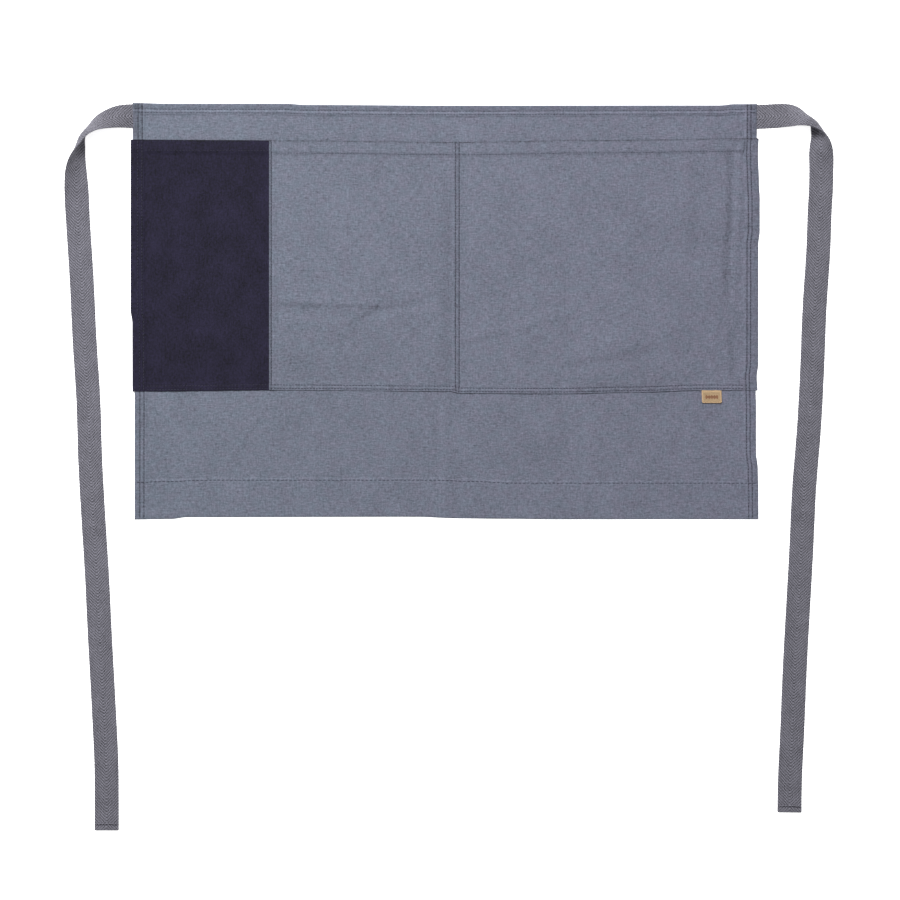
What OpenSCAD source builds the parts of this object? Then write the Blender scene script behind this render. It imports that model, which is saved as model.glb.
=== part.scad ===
// Waist apron of chambray with a denim pocket, two chambray pockets and herringbone tape ties.
// It lies flat on its back with its front up: +X across the front, +Y to the waist edge, +Z up.
// The origin is the middle of the skirt's back face.

/* [Skirt] */
// Width of the skirt from side edge to side edge
skirt_w = 660; // [640:1:680]
// Height of the skirt from hem edge to waist edge
skirt_h = 440; // [420:1:470]
// Thickness of one layer of the chambray or denim
cloth_t = 0.6; // [0.4:0.05:0.8]

/* [Hems] */
// Depth of the turned hem along the waist
waist_hem_w = 12; // [10:1:16]
// Depth of the turned hem down each side
side_hem_w = 13; // [11:1:16]
// Depth of the turned hem along the bottom
bottom_hem_w = 38; // [25:1:45]

/* [Pockets] */
// Drop from the waist edge to the pocket mouths
mouth_drop = 39; // [34:1:50]
// Height of the pockets from the mouth to the bottom seam
pocket_h = 265; // [220:1:275]
// Width of the denim pocket, from the left edge to the lapped seam
denim_pocket_w = 143; // [120:1:180]
// Width of the middle pocket, from the lapped seam to the middle of the division
middle_pocket_w = 200; // [160:1:230]
// Depth of the turned hem along the pocket mouths
mouth_hem_w = 14; // [10:0.5:16]
// Depth of the seam along the bottom of the pockets
bottom_seam_w = 6; // [5:0.5:8]
// Width of the lapped seam between the denim and the chambray pocket
lap_seam_w = 6; // [5:0.5:8]
// Width of the double stitched division between the chambray pockets
division_w = 8; // [7:0.5:10]
// Width by which the pocket cloth stands out past the side edge
wrap_w = 2; // [1:0.5:3]

/* [Ties] */
// Width of the herringbone tape
tape_w = 25; // [20:0.5:26]
// Thickness of the herringbone tape
tape_t = 1.0; // [0.8:0.1:1.2]
// Depth of the fold stitched at the free end of each tie
end_fold = 7.5; // [5:0.5:12]

/* [Label] */
// Width of the woven label
label_w = 21; // [15:1:30]
// Length of the label below the pocket seam
label_l = 13; // [10:1:20]
// Distance from the right edge to the middle of the label
label_inset = 47; // [35:1:80]

/* [Stitching] */
// Width of a row of stitches
stitch_w = 0.8; // [0.5:0.1:1]
// Height by which a row of stitches stands on the cloth
stitch_t = 0.2; // [0.1:0.05:0.3]
// Distance between two twin rows
twin_gap = 3.5; // [3:0.1:4]

/* [Hidden] */

chambray = [0.47, 0.49, 0.55];
denim = [0.18, 0.17, 0.24];
tape = [0.49, 0.49, 0.53];
thread = [0.20, 0.21, 0.32];
tan = [0.63, 0.52, 0.40];

// Edges of the skirt, and inner edges of its hems
left_x = -skirt_w / 2;
right_x = skirt_w / 2;
top_y = skirt_h / 2;
low_y = -skirt_h / 2;
waist_y = top_y - waist_hem_w;
hem_y = low_y + bottom_hem_w;

// Levels: a turned hem is three layers of cloth, and a pocket lies free on the skirt
hem_t = 3 * cloth_t;
wrap_t = hem_t + cloth_t;
play = 0.3;
side_play = 0.5;
pocket_z = cloth_t + play;

// Pocket lines
mouth_y = top_y - mouth_drop;
pocket_low_y = mouth_y - pocket_h;
flap_low_y = pocket_low_y + bottom_seam_w;
flap_top_y = mouth_y - mouth_hem_w;
lap_x = left_x + denim_pocket_w;
division_x = lap_x + middle_pocket_w;
in_left_x = left_x + side_hem_w;
in_right_x = right_x - side_hem_w;

// Stitch rows, measured in from the edges that they hold
waist_row = 6.8;
side_row = 6.5;
seam_row = 1.2;
lap_row = 3;
mouth_row_y = flap_top_y + 1;
thread_back = 2;

// Ties. The tape leaves the top corners, turns over once at its crossing, and lies down the side.
corner_inset = 0.5;
root_z = (hem_t - tape_t) / 2;
left_route = [[-331, 207], [-345, 206.2], [-358.6, 202.6], [-369.1, 197.8], [-377, 191.6],
    [-382.5, 184.8], [-385.2, 179], [-388.6, 165], [-390.2, 149], [-390.4, 128], [-389.5, 97],
    [-385.5, 33], [-382.5, -30], [-378.5, -94], [-376.5, -157], [-373, -221], [-369, -285],
    [-366, -348], [-362.5, -412], [-359.5, -475], [-359, -518], [-359, -549.5]];
right_route = [[331, 206.2], [349, 207.1], [360.1, 207.6], [371.3, 206.6], [380.2, 203.4],
    [386.5, 199.6], [390.6, 195.8], [394.5, 188.7], [396.5, 180.6], [397.4, 167.3],
    [398.2, 152.4], [397.9, 130], [396.5, 105], [395, 65], [391, 1.5], [388.5, -62],
    [385, -125.5], [380, -189], [377, -253], [373.5, -316.5], [370, -380], [367.5, -443.5],
    [365, -496.5], [364.5, -530.5]];
crossing = 6;
crossing_gap = 0.08;
// How far each side of the crossing the tape is flat again, and how fast it turns near the crossing
left_stub_twist = [62, 1.2];
left_tail_twist = [90, 2];
right_stub_twist = [48, 2];
right_tail_twist = [52, 2];
rings_per_point = 3;
fold_inset = 0.2;

// A box between two corners
module block(low, high) {
    translate(low) cube(high - low);
}

// A strip of cloth between two corners of its plan, from level z0 to level z1
module strip(x0, y0, x1, y1, z0, z1) {
    block([x0, y0, z0], [x1, y1, z1]);
}

// A row of stitches across the front at height y, or down it at x, standing on level z
module row_across(y, x0, x1, z) {
    color(thread) strip(x0, y - stitch_w / 2, x1, y + stitch_w / 2, z, z + stitch_t);
}
module row_down(x, y0, y1, z) {
    color(thread) strip(x - stitch_w / 2, y0, x + stitch_w / 2, y1, z, z + stitch_t);
}

// The space that the sewn end of a tie fills between the layers of a corner
module root_space(x0, x1) {
    strip(x0, top_y - corner_inset - tape_w, x1, top_y - corner_inset, root_z, root_z + tape_t);
}
module left_root_space() root_space(left_x, in_left_x);
module right_root_space() root_space(in_right_x, right_x);

// Skirt and its hems
module skirt_panel() {
    color(chambray) strip(in_left_x, hem_y, in_right_x, waist_y, 0, cloth_t);
}

module waist_hem() {
    color(chambray) difference() {
        strip(left_x, waist_y, right_x, top_y, 0, hem_t);
        left_root_space();
        right_root_space();
    }
}

module left_side_hem() {
    color(chambray) difference() {
        strip(left_x, hem_y, in_left_x, waist_y, 0, hem_t);
        left_root_space();
    }
}

module right_side_hem() {
    color(chambray) difference() {
        strip(in_right_x, hem_y, right_x, waist_y, 0, hem_t);
        right_root_space();
    }
}

module bottom_hem() {
    color(chambray) strip(left_x, low_y, right_x, hem_y, 0, hem_t);
}

module left_tie_root() {
    color(tape) left_root_space();
}

module right_tie_root() {
    color(tape) right_root_space();
}

// Pocket cloth that is turned around the side edge, an angle in section
module side_wrap(colour) {
    color(colour) translate([0, mouth_y, 0]) rotate([90, 0, 0])
        linear_extrude(pocket_h) polygon([[-wrap_w, 0], [0, 0], [0, hem_t],
            [side_hem_w, hem_t], [side_hem_w, wrap_t], [-wrap_w, wrap_t]]);
}

module denim_pocket_side_seam() {
    translate([left_x, 0, 0]) side_wrap(denim);
}

module chambray_pocket_side_seam() {
    translate([right_x, 0, 0]) mirror([1, 0, 0]) side_wrap(chambray);
}

// Seams that hold the pockets to the skirt
module denim_pocket_bottom_seam() {
    color(denim) strip(in_left_x, pocket_low_y, lap_x, flap_low_y - side_play, cloth_t, hem_t);
}

module chambray_pocket_bottom_seam() {
    color(chambray) strip(lap_x, pocket_low_y, in_right_x, flap_low_y - side_play,
        cloth_t, hem_t);
}

module pocket_lap_seam() {
    color(chambray) strip(lap_x, flap_low_y - side_play, lap_x + lap_seam_w, mouth_y,
        cloth_t, hem_t);
}

module pocket_division_seam() {
    color(chambray) strip(division_x - division_w / 2, flap_low_y - side_play,
        division_x + division_w / 2, mouth_y, cloth_t, hem_t);
}

// Rows of stitches on the skirt
module waist_hem_stitching() {
    for (k = [0, 1])
        row_across(top_y - waist_row - k * twin_gap, in_left_x, in_right_x, hem_t);
}

// Twin rows down a side, which climb over the pocket cloth
module side_rows(x, away) {
    for (k = [0, 1]) {
        row_x = x + away * (side_row + k * twin_gap);
        row_down(row_x, low_y + thread_back, pocket_low_y, hem_t);
        row_down(row_x, pocket_low_y, mouth_y, wrap_t);
        row_down(row_x, mouth_y, top_y - thread_back, hem_t);
    }
}

module left_side_stitching() side_rows(left_x, 1);
module right_side_stitching() side_rows(right_x, -1);

module bottom_hem_stitching() {
    row_across(hem_y - seam_row, in_left_x, in_right_x, hem_t);
}

module pocket_bottom_stitching() {
    for (y = [pocket_low_y + seam_row, flap_low_y - side_play - seam_row])
        row_across(y, in_left_x, in_right_x, hem_t);
}

module pocket_lap_stitching() {
    row_down(lap_x + lap_row, flap_low_y, mouth_y - thread_back, hem_t);
}

module pocket_division_stitching() {
    for (side = [-1, 1])
        row_down(division_x + side * twin_gap / 2, flap_low_y, mouth_y - thread_back, hem_t);
}

// Fronts of the pockets, which gape at the mouth
module pocket_front(x0, x1, colour) {
    color(colour) strip(x0, flap_low_y, x1, flap_top_y, pocket_z, pocket_z + cloth_t);
}
module mouth_hem(x0, x1, colour) {
    color(colour) strip(x0, flap_top_y, x1, mouth_y, pocket_z, pocket_z + hem_t);
}
module mouth_stitching(x0, x1) {
    row_across(mouth_row_y, x0, x1, pocket_z + hem_t);
}

denim_span = [in_left_x + side_play, lap_x - side_play];
middle_span = [lap_x + lap_seam_w + side_play, division_x - division_w / 2 - side_play];
right_span = [division_x + division_w / 2 + side_play, in_right_x - side_play];

module denim_pocket_front() pocket_front(denim_span[0], denim_span[1], denim);
module denim_mouth_hem() mouth_hem(denim_span[0], denim_span[1], denim);
module denim_mouth_stitching() mouth_stitching(denim_span[0], denim_span[1]);
module middle_pocket_front() pocket_front(middle_span[0], middle_span[1], chambray);
module middle_mouth_hem() mouth_hem(middle_span[0], middle_span[1], chambray);
module middle_mouth_stitching() mouth_stitching(middle_span[0], middle_span[1]);
module right_pocket_front() pocket_front(right_span[0], right_span[1], chambray);
module right_mouth_hem() mouth_hem(right_span[0], right_span[1], chambray);
module right_mouth_stitching() mouth_stitching(right_span[0], right_span[1]);

// A smooth curve through a route's points; u counts points from 0
function end_safe(route, i) = route[max(0, min(len(route) - 1, i))];
function spline(a, b, c, d, f) = b + 0.5 * f * (c - a + f * (2 * a - 5 * b + 4 * c - d
    + f * (3 * (b - c) + d - a)));
function at(route, u) = let (i = min(len(route) - 2, floor(u)))
    spline(end_safe(route, i - 1), route[i], route[i + 1], end_safe(route, i + 2), u - i);
function heading(route, u) = let (v = at(route, min(len(route) - 1, u + 0.02))
    - at(route, max(0, u - 0.02))) [v.x, v.y, 0] / norm(v);

// How far the tape has turned over, in degrees: flat at 0, on edge at 90, flat again at 180
function ease(d, twist) = 1 - pow(max(0, 1 - d / twist[0]), twist[1]);
function turn(route, u, stub_twist, tail_twist) = let (d = norm(at(route, u) - route[crossing]))
    u < crossing ? 90 - 90 * ease(d, stub_twist) : 90 + 90 * ease(d, tail_twist);

// One ring of the tape: hand is 1 where the tape turns left from its root, -1 where it turns right
function ring(route, u, hand, stub_twist, tail_twist) = let (
    a = turn(route, u, stub_twist, tail_twist),
    t = heading(route, u),
    across = cos(a) * hand * [-t.y, t.x, 0] + sin(a) * [0, 0, 1],
    through = cross(t, across),
    rise = (tape_w * abs(sin(a)) + tape_t * abs(cos(a))) / 2,
    p = at(route, u),
    middle = [p.x, p.y, rise],
    w = across * tape_w / 2,
    h = through * tape_t / 2)
    [middle + w + h, middle - w + h, middle - w - h, middle + w - h];

// The tape between two places on its route, one closed solid
module tape_run(route, u0, u1, hand, stub_twist, tail_twist) {
    count = ceil((u1 - u0) * rings_per_point);
    rings = [for (i = [0:count])
        each ring(route, u0 + (u1 - u0) * i / count, hand, stub_twist, tail_twist)];
    // Both faces of the tape are split along the same diagonal, so that it keeps its thickness
    walls = [for (i = [0:count - 1], k = [0:3]) let (
        a = 4 * i + k, b = 4 * i + (k + 1) % 4)
        each k < 2 ? [[a, a + 4, b], [b, a + 4, b + 4]] : [[a, a + 4, b + 4], [a, b + 4, b]]];
    last = 4 * count;
    caps = [[0, 1, 2, 3], [last + 3, last + 2, last + 1, last]];
    color(tape) polyhedron(rings, concat(walls, caps), convexity = 4);
}

module tie_stub(route, hand, stub_twist, tail_twist) {
    tape_run(route, 0, crossing - crossing_gap, hand, stub_twist, tail_twist);
}

module tie_tail(route, hand, stub_twist, tail_twist) {
    tape_run(route, crossing + crossing_gap, len(route) - 1, hand, stub_twist, tail_twist);
    end_turn(route);
}

// What lies on the free end of a tie, drawn with the tip of the tape at the origin and the tape up +Y
module on_end(route) {
    v = heading(route, len(route) - 1);
    translate(route[len(route) - 1]) rotate(atan2(v.y, v.x) + 90) children();
}

// The end of a tie, turned up over the tape
module end_turn(route) {
    color(tape) on_end(route) strip(fold_inset - tape_w / 2, fold_inset, tape_w / 2 - fold_inset,
        end_fold, tape_t / 2, 2 * tape_t);
}

// The row of stitches that holds the turned end
module end_stitching(route) {
    row_y = end_fold - seam_row;
    on_end(route) row_across(row_y, thread_back - tape_w / 2, tape_w / 2 - thread_back, 2 * tape_t);
}

module left_tie_stub() tie_stub(left_route, 1, left_stub_twist, left_tail_twist);
module left_tie_tail() tie_tail(left_route, 1, left_stub_twist, left_tail_twist);
module left_tie_end_stitching() end_stitching(left_route);
module right_tie_stub() tie_stub(right_route, -1, right_stub_twist, right_tail_twist);
module right_tie_tail() tie_tail(right_route, -1, right_stub_twist, right_tail_twist);
module right_tie_end_stitching() end_stitching(right_route);

// The woven label, free below the pocket seam
module label_tab() {
    label_y = pocket_low_y - side_play;
    corner_r = 2;
    label_t = 0.8;
    color(tan) translate([right_x - label_inset, label_y, pocket_z]) linear_extrude(label_t) {
        translate([-label_w / 2, -label_l + corner_r]) square([label_w, label_l - corner_r]);
        translate([-label_w / 2 + corner_r, -label_l]) square([label_w - 2 * corner_r, label_l]);
        for (side = [-1, 1])
            translate([side * (label_w / 2 - corner_r), -label_l + corner_r])
                circle(corner_r, $fn = 32);
    }
}

skirt_panel();
waist_hem();
left_side_hem();
right_side_hem();
bottom_hem();
left_tie_root();
right_tie_root();
denim_pocket_side_seam();
denim_pocket_bottom_seam();
pocket_lap_seam();
pocket_division_seam();
chambray_pocket_bottom_seam();
chambray_pocket_side_seam();
waist_hem_stitching();
left_side_stitching();
right_side_stitching();
bottom_hem_stitching();
pocket_bottom_stitching();
pocket_lap_stitching();
pocket_division_stitching();
denim_pocket_front();
denim_mouth_hem();
denim_mouth_stitching();
middle_pocket_front();
middle_mouth_hem();
middle_mouth_stitching();
right_pocket_front();
right_mouth_hem();
right_mouth_stitching();
left_tie_stub();
left_tie_tail();
left_tie_end_stitching();
right_tie_stub();
right_tie_tail();
right_tie_end_stitching();
label_tab();
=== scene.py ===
"""A waist apron laid flat: chambray skirt, denim and chambray pockets, herringbone ties, woven label."""
import math

import bpy
import numpy as np
from bpy.props import FloatProperty, FloatVectorProperty, PointerProperty
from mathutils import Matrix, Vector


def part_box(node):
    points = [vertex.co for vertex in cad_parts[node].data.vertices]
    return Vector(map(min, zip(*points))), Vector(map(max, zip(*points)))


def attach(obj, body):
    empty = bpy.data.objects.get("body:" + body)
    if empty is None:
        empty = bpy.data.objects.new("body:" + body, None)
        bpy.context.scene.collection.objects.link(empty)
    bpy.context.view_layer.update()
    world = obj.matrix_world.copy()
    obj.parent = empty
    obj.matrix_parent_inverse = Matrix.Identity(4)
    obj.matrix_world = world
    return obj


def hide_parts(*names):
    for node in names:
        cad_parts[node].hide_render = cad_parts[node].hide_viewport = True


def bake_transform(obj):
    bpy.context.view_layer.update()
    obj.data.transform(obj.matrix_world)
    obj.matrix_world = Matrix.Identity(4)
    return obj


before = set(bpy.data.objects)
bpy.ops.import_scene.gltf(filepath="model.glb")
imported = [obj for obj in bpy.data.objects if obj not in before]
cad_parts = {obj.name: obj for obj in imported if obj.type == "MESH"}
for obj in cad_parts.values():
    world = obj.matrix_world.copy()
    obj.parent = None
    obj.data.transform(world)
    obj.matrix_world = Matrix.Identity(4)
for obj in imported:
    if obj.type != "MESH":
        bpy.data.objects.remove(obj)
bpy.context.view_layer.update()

bl_info = {
    "name": "Waist apron",
    "version": (1, 0, 0),
    "blender": (4, 5, 0),
    "location": "3D View > Sidebar > Apron",
    "description": "Makes a pocketed waist apron with tape ties, laid flat on a pale floor",
    "category": "Add Mesh",
}

MM = 0.001


def reach(node, axis):
    """Lowest and highest place of a node along an axis."""
    low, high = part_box(node)
    return float(low[axis]), float(high[axis])


# Lines of the apron's plan, in metres: x across the front, y up to the waist
LEFT_X, RIGHT_X = reach("waist_hem", 0)
WAIST_Y, TOP_Y = reach("waist_hem", 1)
LOW_Y, HEM_Y = reach("bottom_hem", 1)
IN_LEFT_X = reach("left_side_hem", 0)[1]
IN_RIGHT_X = reach("right_side_hem", 0)[0]
TURN_TOP_Y, MOUTH_Y = reach("denim_mouth_hem", 1)
POCKET_LOW_Y = reach("denim_pocket_bottom_seam", 1)[0]
FLAP_Y = reach("denim_pocket_front", 1)[0]
LAP_X, LAP_IN_X = reach("pocket_lap_seam", 0)
DIVIDE_X, DIVIDE_IN_X = reach("pocket_division_seam", 0)
WRAP_LEFT_X = reach("denim_pocket_side_seam", 0)[0]
WRAP_RIGHT_X = reach("chambray_pocket_side_seam", 0)[1]

# Levels
CLOTH = reach("skirt_panel", 2)[1]
HEM_TOP = reach("waist_hem", 2)[1]
WRAP_TOP = reach("denim_pocket_side_seam", 2)[1]
FRONT_LOW, FRONT_TOP = reach("denim_pocket_front", 2)
MOUTH_TOP = reach("denim_mouth_hem", 2)[1]

# Rows of stitches, at their places in the plan
WAIST_ROWS = (TOP_Y - 6.5 * MM, TOP_Y - 10.2 * MM)
LEFT_ROWS = (LEFT_X + 5.9 * MM, LEFT_X + 10.3 * MM)
RIGHT_ROWS = (RIGHT_X - 6.6 * MM, RIGHT_X - 10.4 * MM)
HEM_ROW = HEM_Y - 1.2 * MM
BOTTOM_ROWS = (POCKET_LOW_Y + 2.0 * MM, POCKET_LOW_Y + 5.7 * MM)
LAP_ROW = LAP_X + 2.5 * MM
DIVIDE_ROWS = (DIVIDE_X + 2.0 * MM, DIVIDE_IN_X - 2.0 * MM)
MOUTH_ROWS = {"denim": TURN_TOP_Y + 2.7 * MM, "chambray": TURN_TOP_Y + 0.4 * MM}
POCKET_SPANS = {
    "denim": (IN_LEFT_X, LAP_X),
    "middle": (LAP_IN_X, DIVIDE_X),
    "right": (DIVIDE_IN_X, IN_RIGHT_X),
}

# How far the sewn lines stray from straight, in millimetres: pairs of a place and a stray
STRAY_UP = {
    LOW_Y: ((-330, -0.5), (-291, 0.0), (-275, 1.9), (-30, 2.3), (14, 0.7), (60, 0.2), (120, -0.3),
            (330, -0.3)),
    HEM_Y: ((-330, 2), (-300, 3), (-250, 4.6), (-16, 4.6), (30, 3.3), (70, 1.4), (330, 1.4)),
    POCKET_LOW_Y: ((-330, -1.0), (-187, 0.5), (5, -0.8), (16, -2.9), (120, -3.4), (205, -1.8),
                   (270, 0.2), (330, 0.2)),
    MOUTH_Y: ((-330, 1.0), (-187, 0.3), (12, -1.5), (150, 0.5), (330, 2.4)),
    TOP_Y: ((-330, 1.3), (-290, 0.5), (-171, 0.5), (-146, -0.8), (0, -1.5), (290, -1.4), (306, 0),
            (330, 0.1)),
}
STRAY_OUT = {
    LEFT_X: ((-220, 0.4), (-90, 0.4), (-75, 0.1), (-12, 0.0), (2, -1.8), (176, -1.8), (186, -1.6),
             (220, -1.6)),
    LAP_X: ((-84, 0.1), (181, 0.1)),
    DIVIDE_X: ((-84, -0.4), (181, -0.4)),
    RIGHT_X: ((-220, 1.8), (-190, 1.7), (-168, 1.2), (-150, -0.7), (-100, -0.7), (-84, -1.2),
              (-70, -1.9), (-55, -0.4), (70, -0.3), (84, 1.2), (118, 1.2), (134, 0.4), (165, -0.6),
              (188, 0.2), (220, 0.2)),
}

# Soft folds of the pocket fronts, in millimetres: ends of the fold, its half width, its height
FOLDS = (
    ((-181, 3), (-106, -4), 6.0, -1.6),
    ((-75, -1), (-16, 12), 6.0, -1.1),
    ((-128, -41), (-106, -41), 24.0, 1.8),
    ((-60, 40), (-20, 62), 14.0, -0.6),
    ((307, 171), (295, -20), 4.0, -1.2),
    ((314, 171), (304, -20), 3.6, 0.8),
    ((60, 20), (130, 70), 16.0, -0.7),
    ((150, -50), (240, -20), 18.0, 0.8),
    ((190, 110), (255, 60), 15.0, -0.6),
    ((-300, 40), (-240, 70), 18.0, -0.8),
    ((-260, -50), (-205, -20), 15.0, 0.7),
)

# Painted shading of the cloth's creases, painted shade along their hollows and painted highlight along
# their ridges: ends, half width, shade
SKIRT_CREASE_SHADING = (
    ((-193, -110), (-228, -163), 3.0, -0.24),
    ((-202, -116), (-237, -168), 5.0, 0.10),
    ((-3, 200), (-3, 186), 3.0, 0.16),
    ((-3, -92), (-3, -215), 3.0, 0.12),
    ((6, -92), (6, -215), 5.0, -0.08),
    ((60, -110), (120, -170), 14.0, -0.08),
    ((-300, -100), (-270, -150), 16.0, 0.08),
)
POCKET_CREASE_SHADING = (
    ((-184, 7), (-72, 5), 2.2, -0.34),
    ((-184, 14), (-80, 12), 4.0, 0.12),
    ((-72, 5), (-23, 8), 2.6, -0.18),
    ((-103, -14), (-56, 17), 3.2, -0.30),
    ((-122, -28), (-104, -22), 13.0, -0.20),
    ((-170, -56), (-152, -50), 13.0, -0.16),
    ((-71, 178), (-74, 145), 5.0, -0.20),
    ((2, 128), (2, -74), 7.0, -0.22),
    ((18, -32), (130, -4), 3.2, -0.22),
    ((18, -24), (130, 4), 5.0, 0.12),
    ((130, -54), (225, -36), 4.0, -0.24),
    ((130, -64), (225, -48), 5.0, 0.10),
    ((140, -78), (225, -78), 5.0, -0.30),
    ((301, 165), (297, 40), 3.4, -0.40),
    ((297, 40), (304, -62), 3.0, -0.36),
    ((262, 150), (260, 60), 6.0, -0.18),
    ((246, 150), (246, 60), 7.0, 0.08),
)

# Ties: the middle of each tape from inside the corner, round its crossing, to its free end. Both cross
# over at one point of their routes, and their free pieces start at another, just outside the side seam
LEFT_ROUTE = np.array((
    (-320.5, 207), (-331, 207), (-345, 206.2), (-358.6, 202.6), (-369.1, 197.8), (-377, 191.6),
    (-382.5, 184.8), (-385.2, 179), (-388.6, 165), (-390.2, 149), (-390.4, 128), (-389.5, 97),
    (-385.5, 33), (-382.5, -30), (-378.5, -94), (-376.5, -157), (-373, -221), (-369, -285),
    (-366, -348), (-362.5, -412), (-359.5, -475), (-359, -518), (-359, -549.5))) * MM
RIGHT_ROUTE = np.array((
    (320.5, 206.2), (331, 206.2), (349, 207.1), (360.1, 207.6), (371.3, 206.6), (380.2, 203.4),
    (386.5, 199.6), (390.6, 195.8), (394.5, 188.7), (396.5, 180.6), (397.4, 167.3),
    (398.2, 152.4), (397.9, 130), (396.5, 105), (395, 65), (391, 1.5), (388.5, -62),
    (385, -125.5), (380, -189), (377, -253), (373.5, -316.5), (370, -380), (367.5, -443.5),
    (365, -496.5), (364.5, -530.5))) * MM
CROSSING = 7
STUB_START = 2
# How far from its crossing each length of tape lies flat again, and how fast it turns near there
STUB_TWIST = {"left": (62 * MM, 1.2), "right": (48 * MM, 2.0)}
TAIL_TWIST = {"left": (90 * MM, 2.0), "right": (52 * MM, 2.0)}
# The tape bows outward as it stands on edge: half the angle of its bow, and how far the bow reaches
BOW = {"left": 1.05, "right": 1.5}
BOW_REACH = 20 * MM
# Bow of tape that lies flat, just enough to have a radius
FLATTEST_BOW = 0.001
# How much darker a tie is near its root, the side it bulges to, and the draw of its loose tail
ROOT_SHADE = {"left": 0.30, "right": 0.0}
HAND = {"left": 1, "right": -1}
LIFT_SEED = {"left": 71, "right": 72}
# The tape: its width, its thickness, and the distance between the rings of its surface
TAPE_WIDTH = 25 * MM
TAPE_THICK = 1.0 * MM
TAPE_RING = 0.8 * MM
# The herringbone: from rib to rib along the tape, and the width of its columns of warp
TAPE_REPEAT = 3.25 * MM
TAPE_COLUMN = 1.25 * MM
# The tape's outline across it, from edge to edge: place on its half width, and share of its thickness
TAPE_ACROSS = np.array([-1, -0.985, -0.93, -0.8, -0.6, -0.4, -0.2, 0, 0.2, 0.4, 0.6, 0.8, 0.93, 0.985, 1])
TAPE_HALF = np.array([0.1, 0.55, 0.9, 1, 1, 1, 1, 0.94, 1, 1, 1, 1, 0.9, 0.55, 0.1])
# The turned end of a tie: its length, its row's distance from its edge, the round of its fold
END_FOLD = 7.6 * MM
END_ROW = 1.3 * MM
END_ROUND = 1.0 * MM

# Stitches: places along one from its middle, its girth there, and its number of sides
STITCH_LENGTHS = np.array([-1.0, -0.86, -0.45, 0.0, 0.45, 0.86, 1.0])
STITCH_WIDTHS = np.array([0.15, 0.62, 0.95, 1.0, 0.95, 0.62, 0.15])
STITCH_SIDES = 6
# The waist and the pocket mouths are sewn with finer thread than the rest, as shares of its thickness
WAIST_THREAD = 0.75
MOUTH_THREAD = 0.55
# How deep a row of stitches pulls the cloth in, how wide, and how high and far its puckers run
GROOVE = 0.34 * MM
GROOVE_WIDTH = 1.0 * MM
PUCKER = 0.22 * MM
PUCKER_REACH = 3.2 * MM
# Strength of the painted shade in the rows of stitches, and of the painted highlight just beside them
ROW_DARK = {"waist": 0.35, "side": 0.9, "seam": 0.7, "pocket_bottom": 0.25}

# How much higher the cloth stands: at the skirt's corners and sewn-in ties, in its loose panel, in the
# loose pocket fronts, and along each pocket seam
CORNER_RISE = 0.35 * MM
PANEL_RISE = 0.35 * MM
FRONT_RISE = 0.7 * MM
SEAM_RISE = {"division": 0.45 * MM, "bottom": 0.5 * MM, "lap": 0.75 * MM}
# Where a soft pleat runs down the right pocket, beside its side seam
PLEAT_X = 305 * MM

# Least air between two layers, least thickness at an edge, and round of a pocket's folded edge
AIR = 0.02 * MM
THIN = 0.05 * MM
POCKET_FOLD = 0.9 * MM

# Diamonds on the label: half their spacing, half their height, and half the length of their row
DIAMOND_STEP = 1.4 * MM
DIAMOND_SIZE = 2.35 * MM
DIAMOND_ROW = 6.8 * MM

# Studio, in metres and degrees: the camera looks straight down, and the soft lamp stands above the waist
CAMERA_PLACE = (0.0048, -0.1468, 2.2525)
CAMERA_LENS = 85
SENSOR = 36
FLOOR_HALF = 40.0
FLOOR_LEVEL = -0.1 * MM
LAMP_SIZE = (1.6, 1.0)
LAMP_PLACE = (-0.7, 1.5, 2.1)
LAMP_TURN = (-38, -17, 0)


# ---------------------------------------------------------------- sizes and colours

class ApronSizes(bpy.types.PropertyGroup):
    """Sizes of the threads and stitches."""
    thread: FloatProperty(
        name="Thread pitch", description="Distance from thread to thread of the chambray",
        default=0.00042, min=0.0002, max=0.002, unit="LENGTH", precision=5)
    twill: FloatProperty(
        name="Twill pitch", description="Distance from rib to rib of the denim",
        default=0.0011, min=0.0004, max=0.004, unit="LENGTH", precision=5)
    stitch: FloatProperty(
        name="Stitch pitch", description="Distance from stitch to stitch along a seam",
        default=0.0032, min=0.002, max=0.006, unit="LENGTH", precision=4)
    hem_stitch: FloatProperty(
        name="Hem stitch pitch", description="Distance from stitch to stitch along the hems",
        default=0.0045, min=0.002, max=0.008, unit="LENGTH", precision=4)
    thread_width: FloatProperty(
        name="Sewing thread", description="Thickness of the sewing thread",
        default=0.00062, min=0.0002, max=0.001, unit="LENGTH", precision=5)


class ApronColours(bpy.types.PropertyGroup):
    """Colours of the cloths, tape, thread and label."""
    chambray: FloatVectorProperty(
        name="Chambray", description="Colour of the skirt and two of its pockets",
        subtype="COLOR", size=3, min=0, max=1, default=(0.1135, 0.1235, 0.159))
    denim: FloatVectorProperty(
        name="Denim", description="Colour of the dark pocket",
        subtype="COLOR", size=3, min=0, max=1, default=(0.0096, 0.0079, 0.0212))
    tape: FloatVectorProperty(
        name="Tape", description="Colour of the herringbone ties",
        subtype="COLOR", size=3, min=0, max=1, default=(0.123, 0.120, 0.144))
    thread: FloatVectorProperty(
        name="Thread", description="Colour of the sewing thread",
        subtype="COLOR", size=3, min=0, max=1, default=(0.022, 0.022, 0.040))
    label: FloatVectorProperty(
        name="Label", description="Colour of the woven label",
        subtype="COLOR", size=3, min=0, max=1, default=(0.412, 0.286, 0.166))
    mark: FloatVectorProperty(
        name="Label border", description="Colour of the label's border and diamonds",
        subtype="COLOR", size=3, min=0, max=1, default=(0.19, 0.070, 0.036))
    floor: FloatVectorProperty(
        name="Floor", description="Colour of the floor",
        subtype="COLOR", size=3, min=0, max=1, default=(0.97, 0.97, 0.97))


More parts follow.
